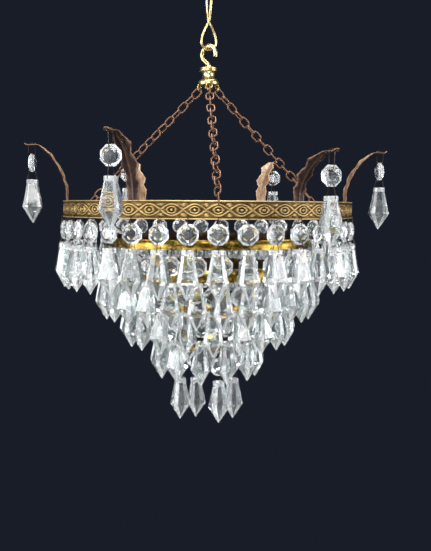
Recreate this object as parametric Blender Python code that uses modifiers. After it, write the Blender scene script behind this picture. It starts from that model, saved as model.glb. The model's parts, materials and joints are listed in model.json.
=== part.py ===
"""Small tiered crystal chandelier, hung from a jack-chain link.

Frame: metres, +Z up, vertical axis through the origin.  The origin is the point
where the ceiling hook bears on the hanging link.  Heights are named as heights
above the middle of the gallery band and turned into world heights by level().
"""
import math

import bmesh
import bpy
from mathutils import Matrix, Vector

MM = 0.001
GAP = 0.3 * MM                    # clearance between pieces that touch
WELD = 0.01 * MM                  # points nearer than this are one point
FINE_WELD = 0.002 * MM            # the same after a Boolean
CUTTER = 12.0 * MM                # length of the pegs that cut holes
NAME = "tiered_chandelier"

# ---- driving dimensions -------------------------------------------------------
BAND_DROP = 195.5 * MM            # gallery datum below the bearing point
BAND_R = 130.0 * MM
BAND_TOP = 4.9 * MM
BAND_BOTTOM = -9.4 * MM
BAND_WALL = 1.2 * MM
BAND_BEAD = 0.9 * MM              # rolled rims stand proud by this much
RIM_HEIGHT = 2.2 * MM

# tier rings under the gallery: radius, top, bottom, crystal tips, strands, turn
TIERS = {
    1: (BAND_R, BAND_TOP, BAND_BOTTOM, -71.5 * MM, 36, 0.0),
    2: (95.0 * MM, -26.6 * MM, -34.8 * MM, -100.0 * MM, 28, 4.1),
    3: (73.0 * MM, -52.0 * MM, -62.9 * MM, -126.0 * MM, 20, 0.0),
    4: (45.0 * MM, -82.0 * MM, -93.9 * MM, -157.0 * MM, 12, 20.0),
    5: (27.0 * MM, -121.8 * MM, -129.4 * MM, -196.7 * MM, 4, 20.0),
}
BOTTOM_HANGS = (-5.6 * MM, -8.5 * MM, 0.0, 0.0)    # the last four strands hang unevenly
BOTTOM_DROP_GAP = 5.0 * MM        # from the octagon down to the drop
STRIP = 0.9 * MM                  # thickness of the plain tier rings
HALVES = ("back", "front")        # the crystals of a tier hang on two lengths of wire
HOOP = 0.6 * MM                   # half thickness of that wire

CHAIN_TURNS = (30.0, 150.0, 270.0)
ARM_TURNS = (0.0, 60.0, 120.0, 180.0, 240.0, 300.0)

# crystals
BEAD_R = 8.0 * MM                 # across-flats radius of the octagon
BEAD_TABLE_R = 4.6 * MM
BEAD_HALF = 3.4 * MM
BEAD_GIRDLE = 0.8 * MM
BEAD_EDGE = 1.0 * MM              # half thickness at the top and foot of a curtain's octagon
HOLE_IN = 2.2 * MM                # hole centre in from the bead's edge
BEAD_HOLE_R = 1.1 * MM
DROP_LENGTH = 39.2 * MM
DROP_TOP = 4.7 * MM               # half width of the drop at its flat top
DROP_WIDE = 8.2 * MM              # half width at its shoulder
DROP_WIDE_AT = 0.62               # share of its length down to the shoulder
DROP_TIP = 0.35 * MM
DROP_CHAMFER = 0.5                # share of a side left flat by the corner facets
DROP_COLLAR = 3.6 * MM
PIN = 0.45 * MM                   # half thickness of the wire pins
BOW_HALF = 3.4 * MM               # a pin's two legs stand this far off its middle

# fittings above the gallery
LINK_WIRE = 1.1 * MM
LINK_TURN = 14.0
LINK_HALF = 6.8 * MM              # half width of each loop, wire centre
LINK_PINCH = 1.45 * MM            # half width where the two loops cross over
LINK_LOW_Z = 141.5 * MM           # bottom of the lower loop, wire centre
LINK_PINCH_Z = 165.2 * MM
HOOK_WIRE = 1.9 * MM
HOOK_R = 7.5 * MM
HOOK_TURN = -40.0
HOOK_END = 2.2 * MM               # straight end of the hook below its bend
COLLAR_R = 3.4 * MM
COLLAR_HEIGHT = 1.5 * MM
CROWN_TOP = 125.7 * MM
CROWN_PLATE = 4.0 * MM
CROWN_R = 8.0 * MM
NECK_R = 5.2 * MM
FLANGE_R = 9.2 * MM
FLANGE_TOP = 115.0 * MM
FLANGE_BOTTOM = 109.7 * MM
SHANK_R = 1.6 * MM
NUT_R = 3.4 * MM
NUT_HEIGHT = 2.6 * MM
EYE_R = 2.7 * MM
EYE_WIRE = 0.8 * MM
EYE_OUT = 9.4 * MM
CHAIN_WIRE = 0.85 * MM
CHAIN_LINKS = 16
CHAIN_HALF_W = 3.3 * MM           # wire centre, half width of a link
CHAIN_OVERLAP = 0.5 * MM
RIM_HOOK = 11.0 * MM              # long last link, over the rim of the gallery
RIM_HOOK_HALF_W = 2.1 * MM
RIM_HOOK_WIRE = 0.6 * MM
CHAIN_HOLE_Z = 1.4 * MM
CHAIN_HOLE_R = 2.3 * MM

# leaf arms: turn, how far out the pendant hangs and how high the tip stands; each
# sheet is bent by hand, so no two are quite alike
ARMS = ((0.0, 30.2, 50.8), (60.0, 32.6, 49.3), (120.0, 30.5, 52.0),
        (180.0, 28.9, 54.5), (240.0, 28.2, 54.9), (300.0, 34.4, 41.4))
# how far the octagon's middle hangs below the tip of each arm
ARM_PIN_DROPS = (17.0, 17.0, 17.0, 16.0, 18.0, 18.0)
ARM_SHEET = 0.9 * MM
ARM_FOOT = 8.0 * MM               # length of the foot inside the gallery
ARM_FOOT_HALF = 5.0 * MM
ARM_SET_BACK = 2.0 * MM           # the blade starts this far inside the gallery
# shares of the reach and of the rise along the blade, and half widths in mm
ARM_STATIONS = (
    (0.02, 0.13, 5.4), (0.06, 0.26, 6.4), (0.13, 0.38, 4.8), (0.24, 0.52, 8.0),
    (0.42, 0.69, 5.0), (0.64, 0.83, 7.4), (0.84, 0.93, 4.4),
)
ARM_FLAT = 6.0 * MM               # the tip is flat from here inwards of the pendant
ARM_TIP = 6.5 * MM                # and ends this far outwards of it
ARM_TIP_HALF = 3.4 * MM
ARM_CUP = 0.22                    # the edges are cupped by this share of the half width
ARM_HOLE_R = 1.8 * MM
ARM_CURL = 1.6 * MM               # the very tip curls up by this much
ARM_DROP_GAP = 6.8 * MM           # from the octagon down to the drop

STAY_WIRE = 0.8 * MM
STAY_TOP = 8.5 * MM               # its upper end is this far below the gallery's rim
STAY_FOOT = 1.5 * MM              # it meets each ring this far above the lower edge
STAY_LEAN_IN = 1.0 * MM           # and bends in before the next ring by this much
STAY_LEAN_UP = 2.4 * MM           # at this height above it

BRASS = ("polished_brass", (0.86, 0.66, 0.30, 1.0), 1.0, 0.22)
AGED = ("aged_brass", (0.42, 0.27, 0.15, 1.0), 1.0, 0.42)
GILT = ("antique_gilt", (0.62, 0.44, 0.20, 1.0), 1.0, 0.36)
BRONZE = ("bronzed_brass", (0.30, 0.19, 0.10, 1.0), 1.0, 0.48)
GLASS = ("crystal", (0.90, 0.92, 0.94, 1.0), 0.0, 0.05)


def level(height):
    """World height of a height above the gallery datum."""
    return height - BAND_DROP


# ---- scene helpers -------------------------------------------------------------
def clear_scene():
    for old in list(bpy.data.objects):
        bpy.data.objects.remove(old, do_unlink=True)
    for old in list(bpy.data.collections):
        bpy.data.collections.remove(old)


def new_collection(name):
    collection = bpy.data.collections.new(name)
    bpy.context.scene.collection.children.link(collection)
    return collection


def make_material(name, spec):
    kind, colour, metallic, roughness = spec
    material = bpy.data.materials.new(name + "_" + kind)
    material.use_nodes = True
    shader = material.node_tree.nodes["Principled BSDF"]
    shader.inputs["Base Color"].default_value = colour
    shader.inputs["Metallic"].default_value = metallic
    shader.inputs["Roughness"].default_value = roughness
    material.diffuse_color = colour
    return material


def finish_part(mesh, name, spec, smooth=None, matrix=None):
    """Put a mesh in the part's collection under its own name and material."""
    mesh.name = name
    mesh.materials.clear()
    mesh.materials.append(make_material(name, spec))
    if smooth is not None:
        mesh.shade_smooth()
        mesh.set_sharp_from_angle(angle=math.radians(smooth))
    part = bpy.data.objects.new(name, mesh)
    PARTS.objects.link(part)
    if matrix is not None:
        part.matrix_world = matrix
    return part


def turned(radius, turn, height, spin=0.0):
    """Frame at a radius and turn: local X tangential, Y inwards, Z up."""
    angle = math.radians(turn)
    place = Vector((radius * math.cos(angle), radius * math.sin(angle), height))
    facing = Matrix.Rotation(angle + math.pi / 2 + math.radians(spin), 4, "Z")
    return Matrix.Translation(place) @ facing


def bm_to_mesh(bm, name):
    bmesh.ops.recalc_face_normals(bm, faces=bm.faces)
    mesh = bpy.data.meshes.new(name)
    bm.to_mesh(mesh)
    bm.free()
    return mesh


def wire_mesh(points, radius, sides, cyclic, name):
    """A round wire along points, as a closed mesh."""
    curve = bpy.data.curves.new(name, "CURVE")
    curve.dimensions = "3D"
    curve.bevel_depth = radius
    curve.bevel_resolution = (sides - 4) // 2
    curve.use_fill_caps = True
    spline = curve.splines.new("POLY")
    spline.points.add(len(points) - 1)
    for point, place in zip(spline.points, points):
        point.co = (place[0], place[1], place[2], 1.0)
    spline.use_cyclic_u = cyclic
    holder = bpy.data.objects.new(name, curve)
    GUIDES.objects.link(holder)
    bpy.context.view_layer.update()
    graph = bpy.context.evaluated_depsgraph_get()
    mesh = bpy.data.meshes.new_from_object(holder.evaluated_get(graph))
    bpy.data.objects.remove(holder, do_unlink=True)
    bm = bmesh.new()
    bm.from_mesh(mesh)
    bmesh.ops.remove_doubles(bm, verts=bm.verts, dist=WELD)
    bpy.data.meshes.remove(mesh)
    return bm_to_mesh(bm, name)


def screw_mesh(profile, steps, closed, name):
    """Turn a profile of (radius, height) points about the Z axis."""
    mesh = bpy.data.meshes.new(name)
    points = [(radius, 0.0, height) for radius, height in profile]
    edges = [(i, i + 1) for i in range(len(points) - 1)]
    if closed:
        edges.append((len(points) - 1, 0))
    mesh.from_pydata(points, edges, [])
    holder = bpy.data.objects.new(name, mesh)
    GUIDES.objects.link(holder)
    screw = holder.modifiers.new("turn", "SCREW")
    screw.steps = steps
    screw.render_steps = steps
    screw.use_merge_vertices = True
    screw.merge_threshold = WELD
    bpy.context.view_layer.update()
    graph = bpy.context.evaluated_depsgraph_get()
    turned_mesh = bpy.data.meshes.new_from_object(holder.evaluated_get(graph))
    bpy.data.objects.remove(holder, do_unlink=True)
    bm = bmesh.new()
    bm.from_mesh(turned_mesh)
    bpy.data.meshes.remove(turned_mesh)
    return bm_to_mesh(bm, name)


def transformed(mesh, matrix):
    copy = mesh.copy()
    copy.transform(matrix)
    return copy


def joined(meshes, name):
    """Several meshes as one, kept as they are."""
    bm = bmesh.new()
    for mesh in meshes:
        bm.from_mesh(mesh)
    result = bpy.data.meshes.new(name)
    bm.to_mesh(result)
    bm.free()
    return result


def combined(base, other, operation, name):
    """Boolean of two meshes with the exact solver."""
    body = bpy.data.objects.new(name + "_base", base)
    tool = bpy.data.objects.new(name + "_tool", other)
    for holder in (body, tool):
        GUIDES.objects.link(holder)
    step = body.modifiers.new("combine", "BOOLEAN")
    step.operation = operation
    step.object = tool
    step.solver = "EXACT"
    bpy.context.view_layer.update()
    graph = bpy.context.evaluated_depsgraph_get()
    result = bpy.data.meshes.new_from_object(body.evaluated_get(graph))
    for holder in (body, tool):
        bpy.data.objects.remove(holder, do_unlink=True)
    bm = bmesh.new()
    bm.from_mesh(result)
    bmesh.ops.remove_doubles(bm, verts=bm.verts, dist=FINE_WELD)
    bmesh.ops.dissolve_degenerate(bm, edges=bm.edges, dist=FINE_WELD)
    bpy.data.meshes.remove(result)
    return bm_to_mesh(bm, name)


def peg(radius, sides, matrix):
    """A cylinder along local Y, used as a cutter."""
    bm = bmesh.new()
    lie_down = Matrix.Rotation(math.pi / 2, 4, "X")
    bmesh.ops.create_cone(bm, cap_ends=True, segments=sides, radius1=radius,
                          radius2=radius, depth=CUTTER, matrix=matrix @ lie_down)
    return bm_to_mesh(bm, "peg")


# ---- hanging link, hook and crown ----------------------------------------------
def build_hanging_link():
    """Jack-chain link: a lower loop and an upper loop at right angles to it."""
    # share of the way from the loop's end to the crossing, and share of its width
    swell = ((0.0, 0.35), (0.09, 0.85), (0.28, 1.0), (0.52, 0.86), (0.76, 0.45), (0.96, 0.0))
    points = []
    for upper, end_z in ((False, LINK_LOW_Z), (True, BAND_DROP + LINK_WIRE)):
        reach = LINK_PINCH_Z - end_z
        left = [(-1.0, share, wide) for share, wide in reversed(swell)]
        right = [(1.0, share, wide) for share, wide in swell]
        for side, share, wide in left + right:
            offset = side * (LINK_PINCH + (LINK_HALF - LINK_PINCH) * wide)
            height = end_z + reach * share
            points.append((0.0, -offset, height) if upper else (offset, 0.0, height))
    mesh = wire_mesh(points, LINK_WIRE, 6, True, "hanging_link")
    turn = Matrix.Rotation(math.radians(LINK_TURN), 4, "Z")
    mesh.transform(Matrix.Translation((0, 0, level(0.0))) @ turn)
    finish_part(mesh, "hanging_link", BRASS, smooth=50)


def hook_centre():
    """Height of the middle of the hook's bend, which bears inside the link."""
    return LINK_LOW_Z + LINK_WIRE + GAP + HOOK_WIRE - HOOK_R


def build_hook():
    """Open hook whose shank runs down through the crown to its nut."""
    centre = hook_centre()
    points = [(0.0, 0.0, CROWN_TOP + 0.8 * MM), (-0.6 * MM, 0.0, CROWN_TOP + 3.0 * MM),
              (-3.4 * MM, 0.0, CROWN_TOP + 5.0 * MM), (-6.4 * MM, 0.0, CROWN_TOP + 8.2 * MM)]
    for step in range(9):
        angle = math.radians(180.0 - step * 23.0)
        points.append((HOOK_R * math.cos(angle), 0.0, centre + HOOK_R * math.sin(angle)))
    points.append((points[-1][0] - 0.2 * MM, 0.0, points[-1][2] - HOOK_END))
    bend = wire_mesh(points, HOOK_WIRE, 8, False, "hook_bend")
    collar_low = CROWN_TOP + GAP
    collar_top = collar_low + COLLAR_HEIGHT
    shank_end = FLANGE_BOTTOM - NUT_HEIGHT - 4.0 * GAP
    collar = screw_mesh([(0.0, collar_top), (COLLAR_R - 0.6 * MM, collar_top),
                         (COLLAR_R, collar_top - 0.6 * MM), (COLLAR_R, collar_low),
                         (SHANK_R, collar_low), (SHANK_R, shank_end), (0.0, shank_end)],
                        12, False, "hook_shank")
    mesh = combined(bend, collar, "UNION", "suspension_hook")
    turn = Matrix.Rotation(math.radians(HOOK_TURN), 4, "Z")
    mesh.transform(Matrix.Translation((0, 0, level(0.0))) @ turn)
    finish_part(mesh, "suspension_hook", BRASS, smooth=40)


def ring_profile(inner, outer, top, bottom):
    return [(inner, top), (outer, top), (outer, bottom), (inner, bottom)]


def build_crown():
    """Turned crown: top plate, waisted neck and the flange that carries the chains."""
    bore = SHANK_R + GAP
    shift = Matrix.Translation((0, 0, level(0.0)))
    plate_low = CROWN_TOP - CROWN_PLATE
    plate = screw_mesh([(bore, CROWN_TOP), (CROWN_R - 0.7 * MM, CROWN_TOP),
                        (CROWN_R, CROWN_TOP - 0.8 * MM), (CROWN_R, plate_low + 0.8 * MM),
                        (CROWN_R - 0.7 * MM, plate_low), (bore, plate_low)], 24, True, "crown_plate")
    plate.transform(shift)
    finish_part(plate, "crown_plate", BRASS, smooth=35)
    neck_top = plate_low - GAP
    neck_low = FLANGE_TOP + GAP
    neck_mid = (neck_top + neck_low) / 2.0
    neck = screw_mesh([(bore, neck_top), (NECK_R + 0.9 * MM, neck_top), (NECK_R, neck_mid),
                       (NECK_R + 1.4 * MM, neck_low), (bore, neck_low)], 20, True, "crown_neck")
    neck.transform(shift)
    finish_part(neck, "crown_neck", BRASS, smooth=50)
    flange = screw_mesh([(bore, FLANGE_TOP), (FLANGE_R - 2.2 * MM, FLANGE_TOP),
                         (FLANGE_R, FLANGE_TOP - 2.0 * MM), (FLANGE_R, FLANGE_BOTTOM + 0.9 * MM),
                         (FLANGE_R - 0.8 * MM, FLANGE_BOTTOM), (bore, FLANGE_BOTTOM)],
                        24, True, "crown_flange")
    eyes = []
    for turn in CHAIN_TURNS:
        loop = []
        for step in range(8):
            angle = math.radians(45.0 * step + 22.5)
            loop.append((EYE_R * math.cos(angle), 0.0, EYE_R * math.sin(angle)))
        eye = wire_mesh(loop, EYE_WIRE, 4, True, "eye")
        eye.transform(turned(EYE_OUT, turn, eye_height()))
        eyes.append(eye)
    mesh = combined(flange, joined(eyes, "eyes"), "UNION", "crown_flange")
    mesh.transform(shift)
    finish_part(mesh, "crown_flange", BRASS, smooth=35)
    nut_top = FLANGE_BOTTOM - GAP
    profile = ring_profile(bore, NUT_R, nut_top, nut_top - NUT_HEIGHT)
    nut = screw_mesh(profile, 6, True, "crown_nut")
    nut.transform(shift)
    finish_part(nut, "crown_nut", BRASS)


def eye_height():
    """Height of the middle of the crown's eyes, set a little into the flange."""
    return FLANGE_BOTTOM - EYE_R + 1.0 * MM


# ---- chains ----------------------------------------------------------------------
def chain_line():
    """First and last end-wire centres of a chain, as (radius, height), and its run.

    The first link goes through an eye of the crown.  The last one is long and thin
    and goes round the top rim of the gallery band, through the hole below it.
    """
    eye = Vector((EYE_OUT, eye_height() - EYE_R))
    rim = Vector((BAND_R, (BAND_TOP + CHAIN_HOLE_Z + CHAIN_HOLE_R) / 2.0))
    run = (rim - eye).normalized()
    first = eye - run * (EYE_WIRE + CHAIN_WIRE + GAP)
    last = rim + run * (BAND_WALL + RIM_HOOK_WIRE + 1.5 * GAP)
    return first, last, run


def link_mesh(half_long, half_wide, side_half, wire):
    """Oval wire link along X, lying in the XZ plane."""
    end_half = half_wide * 0.45
    quarter = [(half_long, end_half), (side_half, half_wide)]
    outline = quarter + [(-x, z) for x, z in reversed(quarter)]
    outline += [(-x, -z) for x, z in outline]
    return wire_mesh([(x, 0.0, z) for x, z in outline], wire, 4, True, "link")


def build_chain(index, turn):
    """One chain: every second link turned a quarter about the chain's line."""
    first, last, run = chain_line()
    slope = math.atan2(-run.y, run.x)
    total = (last - first).length
    pitch = (total - RIM_HOOK - CHAIN_WIRE + RIM_HOOK_WIRE) / CHAIN_LINKS
    half_long = (pitch - CHAIN_OVERLAP) / 2.0 + CHAIN_WIRE
    link = link_mesh(half_long, CHAIN_HALF_W, half_long * 0.45, CHAIN_WIRE)
    rim_hook = link_mesh(RIM_HOOK / 2.0, RIM_HOOK_HALF_W, RIM_HOOK * 0.38, RIM_HOOK_WIRE)
    frame = (turned(0.0, turn, 0.0, spin=-90.0)
             @ Matrix.Translation((first.x, 0.0, first.y))
             @ Matrix.Rotation(slope, 4, "Y"))
    groups = ([], [])
    for number in range(CHAIN_LINKS):
        quarter = Matrix.Rotation(math.pi / 2 * (number % 2), 4, "X")
        place = Matrix.Translation((half_long + pitch * number, 0.0, 0.0)) @ quarter
        groups[number % 2].append(transformed(link, frame @ place))
    groups[CHAIN_LINKS % 2].append(
        transformed(rim_hook, frame @ Matrix.Translation((total - RIM_HOOK / 2.0, 0.0, 0.0))))
    name = "suspension_chain_%d" % index
    mesh = combined(joined(groups[0], "odd"), joined(groups[1], "even"), "UNION", name)
    mesh.transform(Matrix.Translation((0, 0, level(0.0))))
    finish_part(mesh, name, AGED, smooth=50)


# ---- gallery band, tier rings and stays ---------------------------------------------
def build_band():
    """Gallery band with rolled rims and three holes for the chains' last links."""
    inner = BAND_R - BAND_WALL
    proud = BAND_R + BAND_BEAD
    profile = [(inner, BAND_TOP), (proud, BAND_TOP), (proud, BAND_TOP - RIM_HEIGHT * 0.6),
               (BAND_R, BAND_TOP - RIM_HEIGHT), (BAND_R, BAND_BOTTOM + RIM_HEIGHT),
               (proud, BAND_BOTTOM + RIM_HEIGHT * 0.6), (proud, BAND_BOTTOM),
               (inner, BAND_BOTTOM)]
    mesh = screw_mesh(profile, 48, True, "gallery_band")
    holes = []
    for turn in CHAIN_TURNS:
        spot = turned(BAND_R, turn, CHAIN_HOLE_Z)
        holes.append(peg(CHAIN_HOLE_R, 8, spot))
    mesh = combined(mesh, joined(holes, "holes"), "DIFFERENCE", "gallery_band")
    mesh.transform(Matrix.Translation((0, 0, level(0.0))))
    finish_part(mesh, "gallery_band", GILT, smooth=35)


def build_ring(tier):
    """Plain strip ring; the last one is pierced for its four hinged strands."""
    radius, top, bottom, _, count, start = TIERS[tier]
    steps = max(24, min(40, count + 12))
    half = STRIP / 2.0
    name = "tier_ring_%d" % tier
    mesh = screw_mesh(ring_profile(radius - half, radius + half, top, bottom), steps, True, name)
    if tier == 5:
        holes = []
        for number in range(count):
            spot = turned(radius, start + 360.0 * number / count, bottom + HOLE_IN)
            holes.append(peg(BEAD_HOLE_R + GAP, 6, spot))
        mesh = combined(mesh, joined(holes, "holes"), "DIFFERENCE", name)
    mesh.transform(Matrix.Translation((0, 0, level(0.0))))
    finish_part(mesh, name, GILT, smooth=35)


def build_stay(index, turn):
    """Wire stay soldered inside every ring, from the gallery down to the last ring."""
    clear = STAY_WIRE + GAP + 0.1 * MM
    points = []
    for tier in sorted(TIERS):
        radius, top, bottom, _, _, _ = TIERS[tier]
        wall = BAND_WALL if tier == 1 else STRIP / 2.0
        inside = radius - wall - clear
        if tier == 1:
            points.append((inside, top - STAY_TOP))
        else:
            points.append((inside - STAY_LEAN_IN, top + STAY_LEAN_UP))
        points.append((inside, bottom + STAY_FOOT))
    name = "ring_stay_%d" % index
    path = [(radius, 0.0, height) for radius, height in points]
    mesh = wire_mesh(path, STAY_WIRE, 6, False, name)
    mesh.transform(Matrix.Translation((0, 0, level(0.0))) @ turned(0.0, turn, 0.0, spin=-90.0))
    finish_part(mesh, name, GILT, smooth=50)


# ---- crystals -------------------------------------------------------------------------
def bead_mesh():
    """Octagon bead: two tables, sloping facets and a flat girdle; axis along Y."""
    bm = bmesh.new()
    loops = []
    for depth, radius in ((-BEAD_HALF, BEAD_TABLE_R), (-BEAD_GIRDLE, BEAD_R),
                          (BEAD_GIRDLE, BEAD_R), (BEAD_HALF, BEAD_TABLE_R)):
        corner = radius / math.cos(math.pi / 8)
        loop = []
        for step in range(8):
            angle = math.radians(22.5 + 45.0 * step)
            loop.append(bm.verts.new((corner * math.cos(angle), depth, corner * math.sin(angle))))
        loops.append(loop)
    skin_loops(bm, loops)
    return bm_to_mesh(bm, "bead")


def drop_mesh():
    """Pendant drop: square with cut corners, flat topped, widest low down, pointed."""
    levels = ((0.0, DROP_TOP), (-DROP_COLLAR, DROP_TOP),
              (-DROP_LENGTH * DROP_WIDE_AT, DROP_WIDE), (-DROP_LENGTH, DROP_TIP))
    cut = DROP_CHAMFER
    corners = ((1, -cut), (1, cut), (cut, 1), (-cut, 1),
               (-1, cut), (-1, -cut), (-cut, -1), (cut, -1))
    bm = bmesh.new()
    loops = []
    for height, half in levels:
        loops.append([bm.verts.new((x * half, y * half, height)) for x, y in corners])
    skin_loops(bm, loops)
    return bm_to_mesh(bm, "drop")


def skin_loops(bm, loops):
    """Side faces between loops of equal length, and a cap at each end."""
    count = len(loops[0])
    for low, high in zip(loops, loops[1:]):
        for step in range(count):
            following = (step + 1) % count
            bm.faces.new((low[step], low[following], high[following], high[step]))
    bm.faces.new(loops[0])
    bm.faces.new(list(reversed(loops[-1])))


def bow_mesh(top, bottom):
    """Wire pin: a closed rectangle across the crystal, seen edge-on from the front."""
    corners = [(0.0, -BOW_HALF, top), (0.0, BOW_HALF, top),
               (0.0, BOW_HALF, bottom), (0.0, -BOW_HALF, bottom)]
    return wire_mesh(corners, PIN * math.sqrt(2.0), 4, True, "bow")


def build_strand(kind, index, turn, radius, pivot_z, bead_z, drop_top):
    """An octagon on its pin and a drop on its pin, each with its origin on its hinge."""
    upper = bow_mesh(0.0, bead_z + BEAD_R - HOLE_IN - pivot_z)
    bead = transformed(bead_mesh(), Matrix.Translation((0, 0, bead_z - pivot_z)))
    low_hole = bead_z - BEAD_R + HOLE_IN
    hole = peg(BEAD_HOLE_R, 6, Matrix.Translation((0, 0, low_hole - pivot_z)))
    bead = combined(bead, hole, "DIFFERENCE", "pierced_bead")
    name = "%s_octagon_%d" % (kind, index)
    mesh = combined(bead, upper, "UNION", name)
    finish_part(mesh, name, GLASS, matrix=turned(radius, turn, level(pivot_z)))

    lower = bow_mesh(0.0, drop_top - HOLE_IN - low_hole)
    drop = transformed(drop_mesh(), Matrix.Translation((0, 0, drop_top - low_hole)))
    name = "%s_drop_%d" % (kind, index)
    mesh = combined(drop, lower, "UNION", name)
    finish_part(mesh, name, GLASS, matrix=turned(radius, turn, level(low_hole)))


def build_curtain(tier, half):
    """Half of a tier's strands, on a length of wire under the ring's lower edge."""
    radius, _, bottom, tips, count, start = TIERS[tier]
    pin_gap = (bottom - tips - 2.0 * BEAD_R - DROP_LENGTH) / 2.0
    pin_angle = 2.0 * PIN / radius
    first = half * count // 2
    middles = [math.radians(start + 360.0 * (first + number) / count)
               for number in range(count // 2)]
    bm = bmesh.new()
    loops = []
    for middle in middles:
        for side in (-1, 1):
            angle = middle + side * pin_angle / 2.0
            loop = []
            for out, up in ((-HOOP, 0), (HOOP, 0), (HOOP, -2.0 * HOOP), (-HOOP, -2.0 * HOOP)):
                height = bottom - GAP + up
                loop.append(bm.verts.new(((radius + out) * math.cos(angle),
                                          (radius + out) * math.sin(angle), height)))
            loops.append(loop)
    bm.faces.new(reversed(loops[0]))
    bm.faces.new(loops[-1])
    starts = []
    for number, (here, after) in enumerate(zip(loops, loops[1:])):
        for step in range(4):
            following = (step + 1) % 4
            face = bm.faces.new((here[step], here[following], after[following], after[step]))
            if step == 2 and number % 2 == 0:
                starts.append(face)
    bead_top = bottom - pin_gap
    bead_low = bead_top - 2.0 * BEAD_R
    drop_top = bead_low - pin_gap
    slant = BEAD_R * (1.0 - math.tan(math.pi / 8))
    rows = ((bead_top, BEAD_R - slant, BEAD_EDGE), (bead_top - slant, BEAD_R, BEAD_HALF),
            (bead_low + slant, BEAD_R, BEAD_HALF), (bead_low, BEAD_R - slant, BEAD_EDGE),
            ((bead_low + drop_top) / 2.0, PIN, HOOP), (drop_top, DROP_TOP, DROP_TOP),
            (drop_top - DROP_LENGTH * DROP_WIDE_AT, DROP_WIDE, DROP_WIDE),
            (tips, DROP_TIP, DROP_TIP))
    for middle, face in zip(middles, starts):
        grow_strand(bm, face, middle, radius, rows)
    mesh = bm_to_mesh(bm, "curtain")
    mesh.transform(Matrix.Translation((0, 0, level(0.0))))
    finish_part(mesh, "tier_crystals_%d_%s" % (tier, HALVES[half]), GLASS)


def grow_strand(bm, face, middle, radius, rows):
    """Extrude one strand downwards, setting the half width and half depth of each row."""
    outward = Vector((math.cos(middle), math.sin(middle), 0.0))
    sideways = Vector((-math.sin(middle), math.cos(middle), 0.0))
    for height, wide, deep in rows:
        grown = bmesh.ops.extrude_discrete_faces(bm, faces=[face])["faces"][0]
        for vert in grown.verts:
            offset = vert.co - outward * radius
            side = math.copysign(1.0, offset.dot(sideways))
            out = math.copysign(1.0, offset.dot(outward))
            spot = outward * (radius + out * deep) + sideways * (side * wide)
            vert.co = (spot.x, spot.y, height)
        face = grown


# ---- leaf arms ---------------------------------------------------------------------------
def build_arm(index, turn, pendant_out, tip_z):
    """Stamped leaf: foot inside the gallery, lobed blade, flat tip pierced twice."""
    foot_x = -BAND_WALL - GAP - ARM_SHEET / 2.0 - 0.1 * MM
    stations = [(foot_x, BAND_TOP - ARM_FOOT, ARM_FOOT_HALF),
                (foot_x, BAND_TOP + 1.0 * MM, ARM_FOOT_HALF)]
    reach = pendant_out - ARM_FLAT + ARM_SET_BACK
    rise = tip_z - BAND_TOP
    for out, up, half in ARM_STATIONS:
        stations.append((out * reach - ARM_SET_BACK, BAND_TOP + up * rise, half * MM))
    stations.append((pendant_out - ARM_FLAT, tip_z, ARM_TIP_HALF))
    stations.append((pendant_out + BOW_HALF, tip_z, ARM_TIP_HALF))
    stations.append((pendant_out + ARM_TIP, tip_z + ARM_CURL, ARM_TIP_HALF * 0.5))
    bm = bmesh.new()
    rows = []
    for number, (out, up, half) in enumerate(stations):
        cup = ARM_CUP * half if 2 <= number < len(stations) - 3 else 0.0
        row = [bm.verts.new((side * half, -out - abs(side) * cup, up)) for side in (-1, 0, 1)]
        rows.append(row)
    for low, high in zip(rows, rows[1:]):
        for step in range(2):
            bm.faces.new((low[step], low[step + 1], high[step + 1], high[step]))
    bmesh.ops.recalc_face_normals(bm, faces=bm.faces)
    sheet = bpy.data.meshes.new("sheet")
    bm.to_mesh(sheet)
    bm.free()
    holder = bpy.data.objects.new("sheet", sheet)
    GUIDES.objects.link(holder)
    solid = holder.modifiers.new("sheet", "SOLIDIFY")
    solid.thickness = ARM_SHEET
    solid.offset = 0.0
    bpy.context.view_layer.update()
    graph = bpy.context.evaluated_depsgraph_get()
    blade = bpy.data.meshes.new_from_object(holder.evaluated_get(graph))
    bpy.data.objects.remove(holder, do_unlink=True)
    stand_up = Matrix.Rotation(math.pi / 2, 4, "X")
    holes = []
    for side in (-1, 1):
        spot = Matrix.Translation((0.0, -pendant_out - side * BOW_HALF, tip_z)) @ stand_up
        holes.append(peg(ARM_HOLE_R, 8, spot))
    name = "leaf_arm_%d" % index
    mesh = combined(blade, joined(holes, "holes"), "DIFFERENCE", name)
    mesh.transform(Matrix.Translation((0, 0, level(0.0))) @ turned(BAND_R, turn, 0.0))
    finish_part(mesh, name, BRONZE, smooth=60)


# ---- assembly -------------------------------------------------------------------------------
def build_all():
    build_hanging_link()
    build_hook()
    build_crown()
    for index, turn in enumerate(CHAIN_TURNS, 1):
        build_chain(index, turn)
        build_stay(index, turn)
    build_band()
    for tier in (2, 3, 4, 5):
        build_ring(tier)
    for tier in (1, 2, 3, 4):
        for half in range(len(HALVES)):
            build_curtain(tier, half)
    for index, (turn, pendant_out, tip_z) in enumerate(ARMS, 1):
        out = pendant_out * MM
        height = tip_z * MM
        bead_z = height - ARM_PIN_DROPS[index - 1] * MM
        build_arm(index, turn, out, height)
        build_strand("arm", index, turn, BAND_R + out, height + ARM_SHEET / 2.0 + GAP + PIN,
                     bead_z, bead_z - BEAD_R - ARM_DROP_GAP)
    radius, _, bottom, tips, count, start = TIERS[5]
    for number, hang in enumerate(BOTTOM_HANGS):
        turn = start + 360.0 * number / count
        drop_top = tips + DROP_LENGTH + hang
        bead_z = tips + DROP_LENGTH + hang / 2.0 + BOTTOM_DROP_GAP + BEAD_R
        build_strand("bottom", number + 1, turn, radius, bottom + HOLE_IN, bead_z, drop_top)


clear_scene()
PARTS = new_collection(NAME)
GUIDES = new_collection("cutters")
build_all()
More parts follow.
